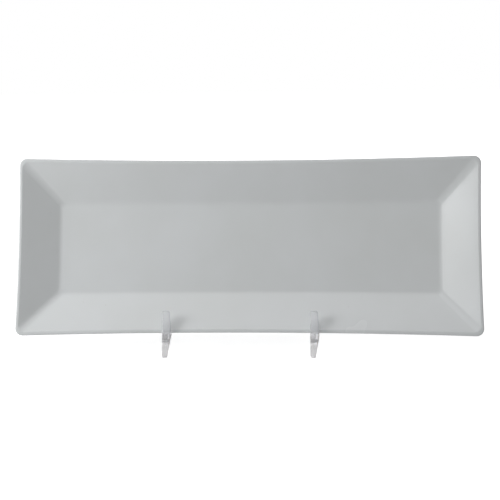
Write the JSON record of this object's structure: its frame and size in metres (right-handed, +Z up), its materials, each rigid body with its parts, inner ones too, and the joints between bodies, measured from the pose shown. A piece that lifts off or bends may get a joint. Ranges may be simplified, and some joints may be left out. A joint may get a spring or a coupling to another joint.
{
  "type": "serving platter on a folding plate stand",
  "caption": "White glazed rectangular serving platter with a wide sloping rim, leaning in a clear folding plate stand whose rear legs fold in.",
  "frame": {"origin": "middle of the whole object's footprint, on the table", "axes": "+Z up; +X along the platter's long side, to the right as seen from the front; the platter's face and the hooks look towards -Y"},
  "size_m": [0.3556, 0.1108, 0.1456],
  "materials": {
    "white_glazed_porcelain": "glossy cool white glaze",
    "clear_acrylic": "clear, polished, moulded",
    "steel": "drawn bright steel",
    "nickel_plate": "bright nickel plate",
    "nylon": "natural nylon"
  },
  "bodies": {
    "stand": {"left_arm": "clear_acrylic", "right_arm": "clear_acrylic", "front_bar": "clear_acrylic", "stop_bar": "clear_acrylic", "hinge_rod": "steel", "spacer_tube": "clear_acrylic", "left_washer": "nylon", "right_washer": "nylon", "left_rod_cap": "nickel_plate", "right_rod_cap": "nickel_plate"},
    "rear_legs": {"left_rear_leg": "clear_acrylic", "right_rear_leg": "clear_acrylic", "rear_stretcher": "clear_acrylic"},
    "platter": {"platter": "white_glazed_porcelain"}
  },
  "joints": [
    {"name": "rear_leg_fold", "type": "hinge", "parent": "stand", "child": "rear_legs", "pos_m": [-0.006, 0.0124, 0.10631], "axis": [-1, 0, 0], "range_deg": [0, 32.8]},
    {"name": "platter_lift", "type": "slide", "parent": "stand", "child": "platter", "axis": [0, 0.309, 0.9511], "range_m": [0, 0.12]}
  ]
}
